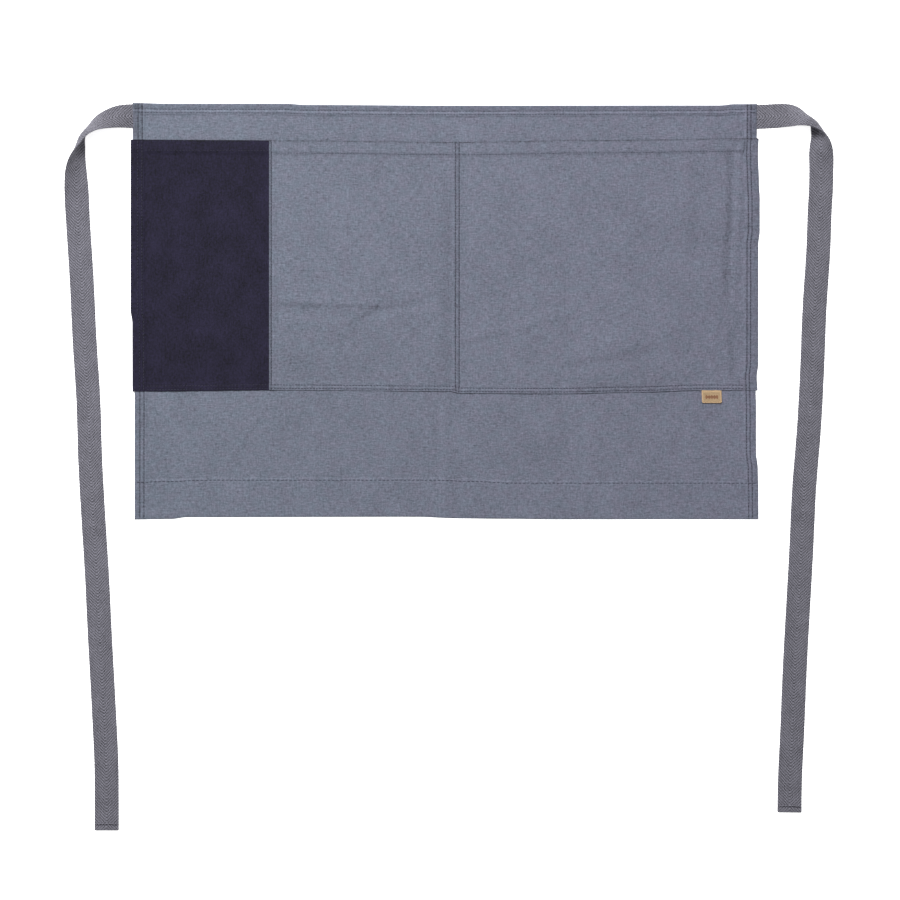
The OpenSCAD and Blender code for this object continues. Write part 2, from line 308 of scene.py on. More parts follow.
class ApronStudio(bpy.types.PropertyGroup):
    """Light of the studio."""
    sky: FloatProperty(
        name="Room light", description="Strength of the even light from all around",
        default=0.50, min=0, max=4)
    lamp: FloatProperty(
        name="Soft lamp", description="Power of the large soft lamp above the waist edge",
        default=105, min=0, max=1000, unit="POWER")
    glow: FloatProperty(
        name="Floor light", description="Strength of the light that the floor itself gives",
        default=0.75, min=0, max=4)


# ---------------------------------------------------------------- plan and levels

def smooth(t):
    """Rises from 0 to 1 as 3t^2 - 2t^3, held flat outside."""
    t = np.clip(t, 0, 1)
    return t * t * (3 - 2 * t)


def bell(d, half_width):
    """A soft band: exp(-(d / half width)^2)."""
    return np.exp(-(d / half_width) ** 2)


def eased(t, table):
    """Value at t of a table of (place, value) pairs in millimetres, with a smooth rise between pairs."""
    place, value = np.array(table, float).T * MM
    i = np.clip(np.searchsorted(place, t) - 1, 0, len(place) - 2)
    return value[i] + (value[i + 1] - value[i]) * smooth((t - place[i]) / (place[i + 1] - place[i]))


def between(t, s, tables):
    """Sum of each table's value at t, weighted by a tent over s that peaks at the table's own line."""
    places = np.array(sorted(tables))
    tents = np.eye(len(places))
    return sum(np.interp(s, places, tents[k]) * eased(t, tables[p]) for k, p in enumerate(places))


def sewn(x, y):
    """Plan place of a point of the straight pattern after sewing: it strays with the nearest lines."""
    return x + between(y, x, STRAY_OUT), y + between(x, y, STRAY_UP)


def waves(x, y, seed, length, height, count=7):
    """Soft unevenness: the sum of sine waves in random directions, all near one wavelength."""
    draw = np.random.default_rng(seed)
    total = np.zeros(np.broadcast(x, y).shape)
    for _ in range(count):
        angle, phase = draw.uniform(0, 2 * math.pi, 2)
        rate = 2 * math.pi / (length * draw.uniform(0.6, 1.6))
        total += np.sin(rate * (x * math.cos(angle) + y * math.sin(angle)) + phase)
    return total * height / math.sqrt(count)


def ridge(x, y, start, end, half_width, height):
    """A soft fold: height * exp(-(d / half width)^2), d the distance to the line from start to end."""
    a = np.array(start) * MM
    b = np.array(end) * MM
    along = b - a
    f = np.clip(((x - a[0]) * along[0] + (y - a[1]) * along[1]) / (along @ along), 0, 1)
    d2 = (x - a[0] - f * along[0]) ** 2 + (y - a[1] - f * along[1]) ** 2
    return height * MM * np.exp(-d2 / (half_width * MM) ** 2)


def stitched(away, along, seed, depth=1.0):
    """Relief of a row of stitches: a groove -g * exp(-(away / w)^2), and puckers that cross the row."""
    groove = depth * GROOVE * bell(away, GROOVE_WIDTH)
    pull = waves(along + 0.5 * away, along * 0 + away * 0, seed, 11 * MM, PUCKER, 9)
    return pull * bell(away, PUCKER_REACH) - groove * (1 + 0.8 * pull / PUCKER)


def quarter(d, radius):
    """A quarter round: rises from 0 at the edge to 1 at radius as sqrt(1 - (1 - d / radius)^2)."""
    return np.sqrt(1 - (1 - np.clip(d / radius, 0, 1)) ** 2)


def hem_cover(x, y):
    """How far a place lies on a side hem, on the waist hem and on the bottom hem: each rises smoothly
    from 0 in the panel to 1 on the hem, over the step that the cloth makes there."""
    step = 2.6 * MM
    side = smooth((IN_LEFT_X - x) / step + 0.5) + smooth((x - IN_RIGHT_X) / step + 0.5)
    waist = smooth((y - WAIST_Y) / step + 0.5)
    low = smooth((HEM_Y - y) / step + 0.5)
    return side, waist, low


def tie_cover(y):
    """How far a place lies on the height at which the ties are sewn in, from 0 below to 1 on it."""
    return smooth((y - TOP_Y + TAPE_WIDTH + 2 * MM) / (2.5 * MM))


def skirt_edge(x, y):
    """Distance from the nearest folded edge of the skirt."""
    return np.minimum(np.minimum(x - LEFT_X, RIGHT_X - x), np.minimum(y - LOW_Y, TOP_Y - y))


def skirt_level(x, y):
    """Top of the skirt cloth: one layer, three on a hem, more in the corners, with its rows' relief."""
    side, waist, low = hem_cover(x, y)
    cover = 1 - (1 - side) * (1 - waist) * (1 - low)
    corner = side * (waist + low)
    tape = side * tie_cover(y)
    top = CLOTH + (HEM_TOP - CLOTH) * cover + CORNER_RISE * corner + CORNER_RISE * tape
    relief = waves(x, y, 5, 85 * MM, 0.28 * MM) * (1 - 0.6 * waist) + PANEL_RISE * (1 - cover)
    for k, row in enumerate(WAIST_ROWS):
        relief = relief + stitched(y - row, x, 11 + k, 0.6)
    for k, row in enumerate(LEFT_ROWS + RIGHT_ROWS):
        relief = relief + stitched(x - row, y, 21 + k)
    relief = relief + stitched(y - HEM_ROW, x, 31, 0.7)
    hidden = smooth((y - POCKET_LOW_Y - 1 * MM) / (5 * MM)) * smooth((MOUTH_Y - 1 * MM - y) / (5 * MM))
    return np.maximum(top + relief * (1 - hidden), CLOTH + AIR)


def row_shade(rows):
    """Painted shade in rows of stitches and painted highlight just beside them: the sum of strength *
    (bell(d, 2.4 mm) / 3 - bell(d, 0.85 mm)), d the distance from each row."""
    return sum(strength * (bell(d, 2.4 * MM) / 3 - bell(d, 0.85 * MM)) for d, strength in rows)


def skirt_wear_and_shade(x, y):
    """Paler worn folded edges; painted shade in the rows and creases, painted highlight beside the rows,
    on the waist ridge and on crease ridges; darker sides and waist strip, darkest where a tie is sewn in.
    """
    # Painted shade in the rows of stitches, with painted highlight beside them
    rows = [(y - row, ROW_DARK["waist"]) for row in WAIST_ROWS]
    rows = rows + [(y - HEM_ROW, 0.34 - 0.2 * smooth(x / RIGHT_X + 1))]
    rows = rows + [(x - row, ROW_DARK["side"]) for row in LEFT_ROWS + RIGHT_ROWS]
    edge = 0.5 * bell(skirt_edge(x, y), 1.2 * MM)
    # Painted highlight on the ridge between the two waist rows
    rise = 0.35 * bell(y - sum(WAIST_ROWS) / 2, 0.8 * MM)
    strip = 0.30 * smooth((y - WAIST_ROWS[0]) / (1 * MM))
    side = smooth((LEFT_ROWS[1] + 1.5 * MM - x) / (1.5 * MM))
    side = side + 0.6 * smooth((x - RIGHT_ROWS[1] + 1.5 * MM) / (1.5 * MM))
    tied = smooth((y - TOP_Y + TAPE_WIDTH + 14 * MM) / (5 * MM))
    # Painted shade and painted highlight along the creases
    crease_shading = sum(ridge(x, y, *crease) for crease in SKIRT_CREASE_SHADING) / MM
    return row_shade(rows) + edge + rise + crease_shading - strip - side * (0.22 + 0.50 * tied)


def pocket_level(x, y, lapped):
    """Top of the pocket cloth: fronts lie on the skirt, hems and seams stand proud of them."""
    top = FRONT_TOP + (MOUTH_TOP - FRONT_TOP) * smooth((y - TURN_TOP_Y) / (6 * MM) + 0.5)
    wrap = smooth((IN_LEFT_X - x) / (5 * MM) + 0.2) + smooth((x - IN_RIGHT_X) / (5 * MM) + 0.2)
    top = np.maximum(top, FRONT_TOP + (WRAP_TOP - FRONT_TOP) * wrap)
    middle = (DIVIDE_X + DIVIDE_IN_X) / 2
    divide = smooth(1.6 - np.abs(x - middle) / (4.2 * MM))
    bottom = smooth((FLAP_Y - y) / (3 * MM) + 0.9)
    top = top + SEAM_RISE["division"] * divide * (1 - bottom) + SEAM_RISE["bottom"] * bottom
    if lapped:
        top = top + SEAM_RISE["lap"] * smooth((LAP_IN_X + 2 * MM - x) / (4 * MM))
        top = top + stitched(x - LAP_ROW, y, 41)
    for k, row in enumerate(DIVIDE_ROWS):
        top = top + stitched(x - row, y, 42 + k)
    for k, row in enumerate(LEFT_ROWS + RIGHT_ROWS):
        top = top + stitched(x - row, y, 21 + k)
    for k, row in enumerate(BOTTOM_ROWS):
        top = top + stitched(y - row, x, 51 + k)
    top = top + stitched(y - MOUTH_ROWS["chambray" if lapped else "denim"], x, 61, 0.2)
    seams = (IN_LEFT_X, LAP_X, LAP_IN_X, DIVIDE_X, DIVIDE_IN_X, IN_RIGHT_X)
    free = np.minimum.reduce([np.abs(x - s) for s in seams] + [y - FLAP_Y])
    inside = (x > IN_LEFT_X) & (x < IN_RIGHT_X) & ~((x > LAP_X) & (x < LAP_IN_X))
    free = smooth(np.clip(free, 0, None) / (16 * MM)) * inside
    swell = sum(ridge(x, y, *fold) for fold in FOLDS) + waves(x, y, 7, 95 * MM, 0.42 * MM)
    near = smooth(np.abs(x - PLEAT_X) / (18 * MM))
    free = np.maximum(free, 0.9 * (1 - near) * (x < IN_RIGHT_X) * smooth((y - FLAP_Y) / (30 * MM)))
    side, _, _ = hem_cover(x, y)
    return np.maximum(top + (swell + FRONT_RISE) * free, 2 * CLOTH + 0.1 * MM + (HEM_TOP - CLOTH) * side)


# ---------------------------------------------------------------- meshes

def lines(*stops):
    """Grid lines: stops are places with the step between them, as place, step, place, step, place."""
    runs = []
    for a, step, b in zip(stops[:-2:2], stops[1:-1:2], stops[2::2]):
        runs.append(np.linspace(a, b, max(2, int(round((b - a) / step)) + 1))[:-1])
    return np.concatenate(runs + [[stops[-1]]])


def round_lines(edge, inward, radius, count=5):
    """Grid lines that crowd to a folded edge, at radius * (1 - cos(angle)) from it."""
    angle = np.linspace(0, math.pi / 2, count + 1)
    return np.sort(edge + inward * radius * (1 - np.cos(angle)))


def merged(*parts):
    """All grid lines in order, without those closer than a twenty-fifth of a millimetre."""
    every = np.sort(np.concatenate(parts))
    return every[np.concatenate([[True], np.diff(every) > 0.04 * MM])]


def flush(values, low=True, high=True):
    """Grid lines with one more just inside an end where the cloth meets its neighbour, so that the
    shading of its cut side stays out of sight."""
    close = 0.06 * MM
    ends = [values[0] + close] * low + [values[-1] - close] * high
    return merged(values, ends)


def put(name, points, faces, rest, material, wear_and_shade=None, flat=0):
    """An object of these points and faces; rest is each point's place on its own cloth, for the weave.
    The last flat faces are left unsmoothed, so that the cloth's cut sides don't shade its front."""
    mesh = bpy.data.meshes.new(name)
    mesh.from_pydata(points.reshape(-1, 3).tolist(), [], faces.tolist())
    corner = np.empty(len(mesh.loops), np.int32)
    mesh.loops.foreach_get("vertex_index", corner)
    layer = mesh.uv_layers.new(name="Cloth")
    layer.data.foreach_set("uv", rest.reshape(-1, 2)[corner].astype(np.float32).ravel())
    # The wear attribute holds real wear and also painted shade and painted highlight
    if wear_and_shade is not None:
        mark = mesh.attributes.new("wear_and_shade", "FLOAT", "POINT")
        mark.data.foreach_set("value", wear_and_shade.astype(np.float32).ravel())
    shade = np.ones(len(faces), bool)
    if flat:
        shade[-flat:] = False
    mesh.polygons.foreach_set("use_smooth", shade)
    mesh.materials.append(material)
    mesh.validate()
    mesh.update()
    thing = bpy.data.objects.new(name, mesh)
    bpy.context.scene.collection.objects.link(thing)
    return thing


def grid_faces(index):
    """Quads between the neighbours of a grid of point numbers."""
    return np.stack([index[:-1, :-1], index[:-1, 1:], index[1:, 1:], index[1:, :-1]], -1).reshape(-1, 4)


def closed_sheet(x, y, top, bottom):
    """Points and faces of a closed sheet over a grid: point (i, j) is at x, y and at top or bottom. The
    faces are the top, the bottom turned over, and last the rim between them, whose length comes too."""
    points = np.stack([np.stack([x, y, z], -1) for z in (top, bottom)])
    n = x.size
    index = np.arange(n).reshape(x.shape)
    rim = np.concatenate([index[0], index[1:, -1], index[-1, -2::-1], index[-2:0:-1, 0]])
    after = np.roll(rim, -1)
    sheet = grid_faces(index)
    walls = np.stack([rim + n, after + n, after, rim], -1)
    return points, np.concatenate([sheet, sheet[:, ::-1] + n, walls]), len(walls)


def slab(name, x, y, top, bottom, material, wear_and_shade=None, flat_rim=True):
    """A closed sheet of cloth over a grid of the plan, with its points at sewn(x, y)."""
    points, faces, walls = closed_sheet(*sewn(x, y), top, np.minimum(bottom, top))
    rest = np.tile(np.stack([x, y], -1).reshape(-1, 2), (2, 1))
    wear_and_shade_per_point = None if wear_and_shade is None else np.concatenate([wear_and_shade.ravel(), wear_and_shade.ravel() * 0])
    return put(name, points, faces, rest, material, wear_and_shade_per_point, walls if flat_rim else 0)


def tube(name, rings, rest, material, wear_and_shade):
    """A closed tube: rings of points joined in order, with a fan of quads over each end."""
    count, sides = rings.shape[:2]
    index = np.arange(count * sides).reshape(count, sides)
    turned = np.roll(index, -1, axis=1)
    walls = np.stack([index[:-1], turned[:-1], turned[1:], index[1:]], -1).reshape(-1, 4)
    half = sides // 2
    a = np.arange(half - 1)
    cap = np.stack([a, a + 1, sides - 2 - a, sides - 1 - a], -1)
    faces = np.concatenate([walls, cap[:, ::-1], cap + (count - 1) * sides])
    return put(name, rings, faces, rest, material, wear_and_shade, 2 * len(cap))


def stitches(name, rows, level, pitch, width, material, cover=0.8):
    """Rows of stitches as one mesh. Each is a bent capsule of six sides: its middle rises over the cloth
    as 1 - s^2 and its ends sink in, for s from -1 to 1 along it."""
    starts = []
    ends = []
    for a, b in rows:
        a = np.array(a)
        b = np.array(b)
        count = max(1, int(round(np.linalg.norm(b - a) / pitch)))
        f = (np.arange(count)[:, None] + np.array([[0.5 - cover / 2, 0.5 + cover / 2]])) / count
        starts.append(a + (b - a) * f[:, :1])
        ends.append(a + (b - a) * f[:, 1:])
    start = np.concatenate(starts)
    end = np.concatenate(ends)
    middle = (start + end) / 2
    f = (STITCH_LENGTHS[None, :, None] + 1) / 2
    plan = start[:, None] * (1 - f) + end[:, None] * f
    x, y = sewn(plan[..., 0], plan[..., 1])
    heading = np.stack([x[:, -1] - x[:, 0], y[:, -1] - y[:, 0]], -1)
    heading = heading / np.linalg.norm(heading, axis=1, keepdims=True)
    rise = (0.75 - 1.15 * STITCH_LENGTHS ** 2) * width / 2
    z = level(middle[:, 0], middle[:, 1])[:, None] + rise[None]
    angle = np.linspace(0, 2 * math.pi, STITCH_SIDES, endpoint=False)
    thick = STITCH_WIDTHS * width / 2
    side = np.stack([-heading[:, 1], heading[:, 0], heading[:, 0] * 0], -1)
    centre = np.stack([x, y, z], -1)
    points = (centre[:, :, None]
              + side[:, None, None] * (thick[:, None] * np.cos(angle))[None, :, :, None]
              + np.array([0, 0, 1.0]) * (thick[:, None] * np.sin(angle))[None, :, :, None])
    count, rings = x.shape
    sides = STITCH_SIDES
    index = np.arange(rings * sides).reshape(rings, sides)
    turned = np.roll(index, -1, axis=1)
    walls = np.stack([index[:-1], index[1:], turned[1:], turned[:-1]], -1).reshape(-1, 4)
    caps = np.array([[0, 1, 2, 3], [0, 3, 4, 5]])
    one = np.concatenate([walls, caps, (caps + (rings - 1) * sides)[:, ::-1]])
    faces = (one[None] + (np.arange(count) * rings * sides)[:, None, None]).reshape(-1, 4)
    rest = np.repeat(plan.reshape(-1, 2), sides, axis=0)
    return put(name, points, faces, rest, material)


# ---------------------------------------------------------------- materials

class Finish:
    """A material being made: nodes are added by kind, and a number, colour or socket feeds an input."""

    def __init__(self, name):
        self.material = bpy.data.materials.new(f"{name}_finish")
        self.material.use_nodes = True
        self.tree = self.material.node_tree
        self.shader = self.tree.nodes["Principled BSDF"]

    def feed(self, socket, value):
        """Links a socket to an input, or sets the input to a number or colour."""
        if isinstance(value, bpy.types.NodeSocket):
            self.tree.links.new(value, socket)
        else:
            socket.default_value = value

    def node(self, kind, inputs=(), output=0, **settings):
        """Adds a shader node of this kind and gives one of its outputs."""
        made = self.tree.nodes.new("ShaderNode" + kind)
        for key, value in settings.items():
            setattr(made, key, value)
        for key, value in dict(inputs).items():
            self.feed(made.inputs[key], value)
        return made.outputs[output]

    def math(self, operation, *values):
        """The result of a sum or other operation on the values."""
        return self.node("Math", dict(enumerate(values)), operation=operation)

    def on_cloth(self):
        """The place on the piece's own cloth, and its two lengths apart."""
        place = self.node("UVMap", uv_map="Cloth")
        first = self.node("SeparateXYZ", {0: place})
        return place, first, first.node.outputs[1]

    def wear_and_shade(self):
        """How worn and how shaded the cloth is, real wear together with painted shade and painted
        highlight: paler above 0 and darker below.
        """
        return self.node("Attribute", attribute_name="wear_and_shade", output=2)

    def wobbled(self, value, place, grain, detail, reach):
        """The value shifted by noise of up to half the reach, so that threads don't run dead straight."""
        drift = self.math("SUBTRACT", self.noise(place, (grain, grain, 1), detail), 0.5)
        return self.math("ADD", value, self.math("MULTIPLY", drift, reach))

    def times(self, colour, factor):
        """The product of two colours."""
        return self.node("Mix", {6: colour, 7: factor, 0: 1.0}, output=2, data_type="RGBA",
                         blend_type="MULTIPLY")

    def ramp(self, value, *stops):
        """A colour that runs through the stops as the value rises; a stop is a position and a colour."""
        made = self.node("ValToRGB", {0: value})
        for element, (position, colour) in zip(made.node.color_ramp.elements, stops):
            element.position = position
            element.color = rgba(colour)
        return made

    def sine(self, value, pitch):
        """sin(2 pi value / pitch)"""
        return self.math("SINE", self.math("MULTIPLY", value, 2 * math.pi / pitch))

    def noise(self, place, scale, detail=3.0, rough=0.55):
        """Noise whose grain is 1 / scale metres along each axis, from 0 to 1."""
        grain = self.node("Mapping", {"Vector": place, "Scale": scale}, vector_type="POINT")
        return self.node("TexNoise", {"Vector": grain, "Scale": 1.0, "Detail": detail, "Roughness": rough})

    def shade(self, colour, *parts):
        """The colour times 1 + the sum of strength * (value - middle) over the parts."""
        total = 1.0
        for value, middle, strength in parts:
            centred = self.math("SUBTRACT", value, middle)
            total = self.math("MULTIPLY_ADD", centred, strength, total)
        return self.times(colour, self.node("CombineColor", {0: total, 1: total, 2: total}))

    def done(self, colour, roughness, height, distance, sheen, tint=(1, 1, 1, 1)):
        """Colour, roughness and bump reach the shader; sheen is the nap of the cloth."""
        self.feed(self.shader.inputs["Base Color"], colour)
        self.feed(self.shader.inputs["Roughness"], roughness)
        self.shader.inputs["Specular IOR Level"].default_value = 0.25
        self.shader.inputs["Sheen Weight"].default_value = sheen
        self.shader.inputs["Sheen Roughness"].default_value = 0.45
        self.shader.inputs["Sheen Tint"].default_value = tint
        bump = self.node("Bump", {"Height": height, "Distance": distance, "Strength": 1.0})
        self.feed(self.shader.inputs["Normal"], bump)
        return self.material


def rgba(colour):
    """The colour with full cover."""
    return (*colour, 1.0)


def chambray_finish():
    """Plain weave of blue warp and pale weft: threads over and under as sin(x) * sin(y), with slubs that
    run along the weft, a mottle of dye, paler worn edges, and the painted shade and highlight of its wear
    attribute."""
    colours = bpy.context.scene.apron_colours
    pitch = bpy.context.scene.apron_sizes.thread * 2
    f = Finish("chambray")
    place, x, y = f.on_cloth()
    warp, weft = (f.sine(f.wobbled(along, place, 900, 2.0, 0.35 * MM), pitch) for along in (x, y))
    weave = f.math("MULTIPLY", warp, weft)
    slub = f.noise(place, (130, 800, 1), 3.0, 0.6)
    fleck = f.noise(place, (430, 480, 1), 3.0, 0.7)
    strand = f.noise(place, (700, 130, 1), 2.0, 0.5)
    mottle = f.noise(place, (38, 30, 1), 4.0, 0.6)
    wash = f.noise(place, (9, 7, 1), 2.0, 0.5)
    base = f.shade(rgba(colours.chambray), (weave, 0.0, 0.12), (slub, 0.5, 1.05), (fleck, 0.5, 1.45),
                   (strand, 0.5, 0.65), (mottle, 0.5, 0.30), (wash, 0.5, 0.12), (f.wear_and_shade(), 0.0, 0.42))
    tone = f.ramp(f.noise(place, (80, 95, 1), 4.0, 0.65),
                  (0.38, (0.965, 1.01, 1.01)), (0.62, (1.04, 0.985, 1.01)))
    # A slight shift of hue across the skirt, greener on the left and redder on the right
    hue_across = f.ramp(f.math("MULTIPLY_ADD", x, 1.5, 0.5),
                   (0.0, (0.985, 1.012, 1.005)), (1.0, (1.015, 0.985, 1.01)))
    base = f.times(f.times(base, tone), hue_across)
    rough = f.math("MULTIPLY_ADD", fleck, 0.16, 0.78)
    relief = f.math("MULTIPLY_ADD", weave, 0.35, f.math("MULTIPLY_ADD", slub, 1.2, fleck))
    return f.done(base, rough, relief, 0.16 * MM, 0.10, (0.85, 0.88, 1.0, 1.0))


def denim_finish():
    """Twill: ribs rise to the right as sin((x - y) / pitch), dark warp over a few pale weft flecks."""
    colours = bpy.context.scene.apron_colours
    pitch = bpy.context.scene.apron_sizes.twill
    f = Finish("denim")
    place, x, y = f.on_cloth()
    lean = f.math("MULTIPLY_ADD", y, -0.55, x)
    rib = f.sine(f.wobbled(lean, place, 500, 2.0, 0.5 * MM), pitch)
    cut = f.sine(y, pitch * 0.7)
    weave = f.math("MULTIPLY_ADD", cut, 0.35, rib)
    slub = f.noise(place, (800, 120, 1), 3.0, 0.6)
    fleck = f.noise(place, (420, 420, 1), 4.0, 0.75)
    mottle = f.noise(place, (45, 35, 1), 4.0, 0.6)
    # The wear attribute brings paler worn edges, painted shade and painted highlight into the colour
    base = f.shade(rgba(colours.denim), (weave, 0.0, 0.14), (slub, 0.5, 1.7), (fleck, 0.5, 3.6),
                   (mottle, 0.5, 1.5), (f.wear_and_shade(), 0.0, 0.45))
    rough = f.math("MULTIPLY_ADD", fleck, 0.16, 0.80)
    relief = f.math("MULTIPLY_ADD", weave, 0.5, fleck)
    return f.done(base, rough, relief, 0.16 * MM, 0.035, (0.75, 0.78, 1.0, 1.0))


def tape_finish():
    """Herringbone: two halves of stepped ribs that meet at the middle, as sin((length + step) / repeat),
    where step is |across| rounded to whole columns of warp."""
    colours = bpy.context.scene.apron_colours
    f = Finish("tape")
    place, length, across = f.on_cloth()
    column = f.math("SNAP", f.math("ABSOLUTE", across), TAPE_COLUMN)
    rib = f.sine(f.wobbled(f.math("ADD", length, column), place, 450, 3.0, 2.2 * MM), TAPE_REPEAT)
    thread = f.sine(across, 0.9 * MM)
    fleck = f.noise(place, (800, 800, 1), 3.0, 0.7)
    mottle = f.noise(place, (60, 60, 1), 3.0, 0.6)
    # The wear attribute brings painted shade along the end's row of stitches into the colour
    base = f.shade(rgba(colours.tape), (rib, 0.0, 0.52), (thread, 0.0, 0.05), (fleck, 0.5, 2.6),
                   (mottle, 0.5, 0.6), (f.wear_and_shade(), 0.0, 0.6))
    rough = f.math("MULTIPLY_ADD", fleck, 0.14, 0.78)
    relief = f.math("MULTIPLY_ADD", rib, 0.9, f.math("MULTIPLY_ADD", thread, 0.25, fleck))
    return f.done(base, rough, relief, 0.22 * MM, 0.10, (0.95, 0.95, 1.0, 1.0))


def thread_finish():
    """Twisted sewing thread: fine stripes across it and a faint change of dye."""
    colours = bpy.context.scene.apron_colours
    f = Finish("thread")
    place = f.node("TexCoord", output=3)
    twist = f.noise(place, (4200, 4200, 4200), 1.0)
    dye = f.noise(place, (260, 260, 260), 2.0)
    base = f.shade(rgba(colours.thread), (twist, 0.5, 0.5), (dye, 0.5, 0.9))
    rough = f.math("MULTIPLY_ADD", twist, 0.2, 0.5)
    return f.done(base, rough, twist, 0.06 * MM, 0.08)


def label_finish():
    """Woven label: a border along its sides and a row of small diamonds, |u| + |v| under a limit."""
    colours = bpy.context.scene.apron_colours
    f = Finish("label")
    place, x, y = f.on_cloth()
    low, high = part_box("label_tab")
    off_middle = f.math("SUBTRACT", x, (low[0] + high[0]) / 2)
    from_side = f.math("ABSOLUTE", off_middle)
    from_end = f.math("ABSOLUTE", f.math("SUBTRACT", y, (low[1] + high[1]) / 2))
    edge_x = f.math("GREATER_THAN", from_side, (high[0] - low[0]) / 2 - 1.4 * MM)
    edge_y = f.math("GREATER_THAN", from_end, (high[1] - low[1]) / 2 - 1.3 * MM)
    border = f.math("MAXIMUM", edge_x, edge_y)
    step = f.math("PINGPONG", off_middle, DIAMOND_STEP)
    diamond = f.math("LESS_THAN", f.math("ADD", step, from_end), DIAMOND_SIZE)
    inside = f.math("LESS_THAN", from_side, DIAMOND_ROW)
    motif = f.math("MULTIPLY", f.math("MULTIPLY", diamond, inside), 0.78)
    weave = f.math("MULTIPLY", f.sine(x, 0.5 * MM), f.sine(y, 0.5 * MM))
    grain = f.noise(place, (900, 900, 1), 3.0, 0.7)
    base = f.node("Mix", {0: motif, 6: rgba(colours.label), 7: rgba(colours.mark)}, output=2,
                  data_type="RGBA")
    base = f.shade(base, (border, 0.0, 0.30), (weave, 0.0, 0.08), (grain, 0.5, 0.9))
    rough = f.math("MULTIPLY_ADD", grain, 0.15, 0.7)
    return f.done(base, rough, f.math("ADD", weave, grain), 0.14 * MM, 0.1)


def floor_finish():
    """Matt pale board with the faintest unevenness."""
    colours = bpy.context.scene.apron_colours
    f = Finish("floor")
    place = f.node("TexCoord", output=3)
    grain = f.noise(place, (6, 6, 6), 2.0)
    base = f.shade(rgba(colours.floor), (grain, 0.5, 0.01))
    f.feed(f.shader.inputs["Emission Color"], rgba(colours.floor))
    f.feed(f.shader.inputs["Emission Strength"], bpy.context.scene.apron_studio.glow)
    return f.done(base, f.math("MULTIPLY_ADD", grain, 0.05, 0.85), grain, 0.02 * MM, 0.0)


FINISHES = {
    "chambray": chambray_finish, "denim": denim_finish, "tape": tape_finish,
    "thread": thread_finish, "label": label_finish, "floor": floor_finish,
}


def finish(name):
    """The material of this name, made when it is first asked for."""
    return bpy.data.materials.get(f"{name}_finish") or FINISHES[name]()


# ---------------------------------------------------------------- pieces of the skirt

def turned_down(edge, high, low, radius):
    """Level of cloth that turns down at a folded edge: low + (high - low) * quarter(edge, radius)."""
    return low + (high - low) * quarter(edge, radius)


def skirt_cloth():
    """The skirt in one sheet. It lies flat, steps up over its turned hems, and turns down at its edges."""
    radius = HEM_TOP
    xs = merged(round_lines(LEFT_X, 1, radius),
                lines(LEFT_X + radius, 0.7 * MM, IN_LEFT_X + 2 * MM, 1.9 * MM, IN_RIGHT_X - 2 * MM,
                      0.7 * MM, RIGHT_X - radius),
                round_lines(RIGHT_X, -1, radius))
    ys = merged(round_lines(LOW_Y, 1, radius),
                lines(LOW_Y + radius, 2.4 * MM, HEM_ROW - 3 * MM, 0.7 * MM, HEM_Y + 3 * MM, 2.6 * MM,
                      POCKET_LOW_Y + 4 * MM, 12 * MM, MOUTH_Y - 6 * MM, 2.4 * MM, WAIST_Y - 2 * MM,
                      0.62 * MM, TOP_Y - radius),
                round_lines(TOP_Y, -1, radius))
    x, y = np.meshgrid(xs, ys)
    level = skirt_level(x, y)
    edge = skirt_edge(x, y)
    top = np.maximum(turned_down(edge, level, 0.0, radius), THIN)
    bottom = turned_down(edge - CLOTH, level - CLOTH, 0.0, radius - CLOTH)
    bottom = np.where(edge > CLOTH, bottom, 0.0)
    return slab("skirt_cloth", x, y, top, bottom, finish("chambray"), skirt_wear_and_shade(x, y),
                False)


def hem_turn(name, x0, x1, y0, y1):
    """The two turned layers of a hem, under the skirt cloth, thinner where a tie is sewn in."""
    margin = CLOTH * 1.1
    step = 4 * MM
    x, y = np.meshgrid(lines(max(x0, LEFT_X + margin), step, min(x1, RIGHT_X - margin)),
                       lines(max(y0, LOW_Y + margin), step, min(y1, TOP_Y - margin)))
    edge = skirt_edge(x, y)
    side, _, _ = hem_cover(x, y)
    full = HEM_TOP - CLOTH - 0.12 * MM - 0.8 * MM * (side * tie_cover(y))
    top = full - GROOVE * smooth(1.5 - (edge - margin) / (2 * MM))
    return slab(name, x, y, top, top * 0 + AIR, finish("chambray"))


def skirt_hems():
    """The turned hems: waist, sides and bottom."""
    inner = 0.4 * MM
    return {
        "waist_hem": hem_turn("waist_hem_turn", LEFT_X, RIGHT_X, WAIST_Y, TOP_Y),
        "left_side_hem": hem_turn("left_side_hem_turn", LEFT_X, IN_LEFT_X, HEM_Y + inner,
                                  WAIST_Y - inner),
        "right_side_hem": hem_turn("right_side_hem_turn", IN_RIGHT_X, RIGHT_X, HEM_Y + inner,
                                   WAIST_Y - inner),
        "bottom_hem": hem_turn("bottom_hem_turn", LEFT_X, RIGHT_X, LOW_Y, HEM_Y),
    }


# ---------------------------------------------------------------- pieces of the pockets

